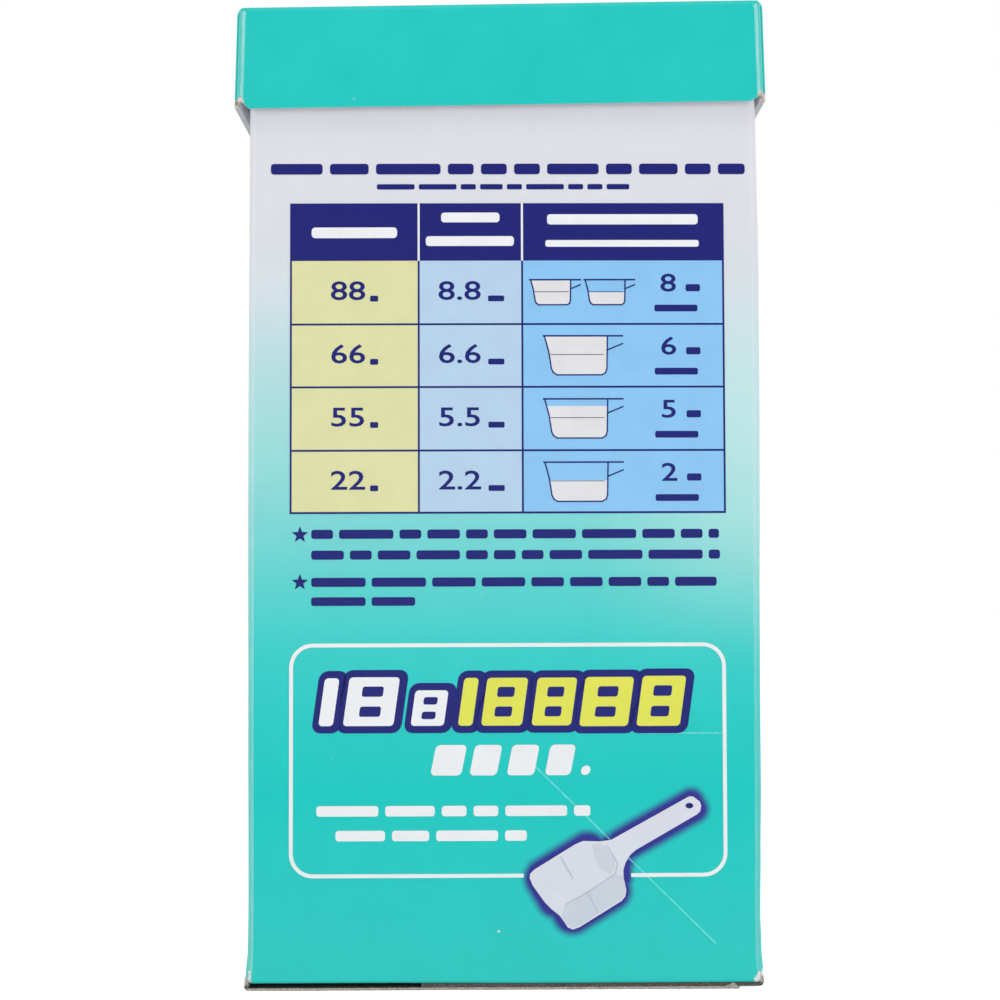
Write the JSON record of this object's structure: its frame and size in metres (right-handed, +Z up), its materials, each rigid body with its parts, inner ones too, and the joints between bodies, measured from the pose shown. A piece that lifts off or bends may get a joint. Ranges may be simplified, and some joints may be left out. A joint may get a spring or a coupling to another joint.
{
  "type": "washing powder box",
  "caption": "Tall folded carton of washing powder with a hinged tray lid, open inside to a level of powder and a measuring scoop.",
  "frame": {"origin": "middle of the carton's base, on the surface that it stands on", "axes": "+Z up, -Y out of the narrow face that the picture shows, +X to the right of someone who looks at that face"},
  "size_m": [0.1188, 0.152, 0.2193],
  "materials": {
    "carton_board": "satin",
    "lid_board": "satin",
    "powder": "matte",
    "scoop_plastic": "satin"
  },
  "bodies": {
    "box": {"carton_body": "carton_board", "washing_powder": "powder", "measuring_scoop": "scoop_plastic"},
    "lid": {"lid": "lid_board"}
  },
  "joints": [
    {"name": "lid_hinge", "type": "hinge", "parent": "box", "child": "lid", "pos_m": [0, 0.075, 0.1952], "axis": [-1, 0, 0], "range_deg": [0, 120]}
  ]
}
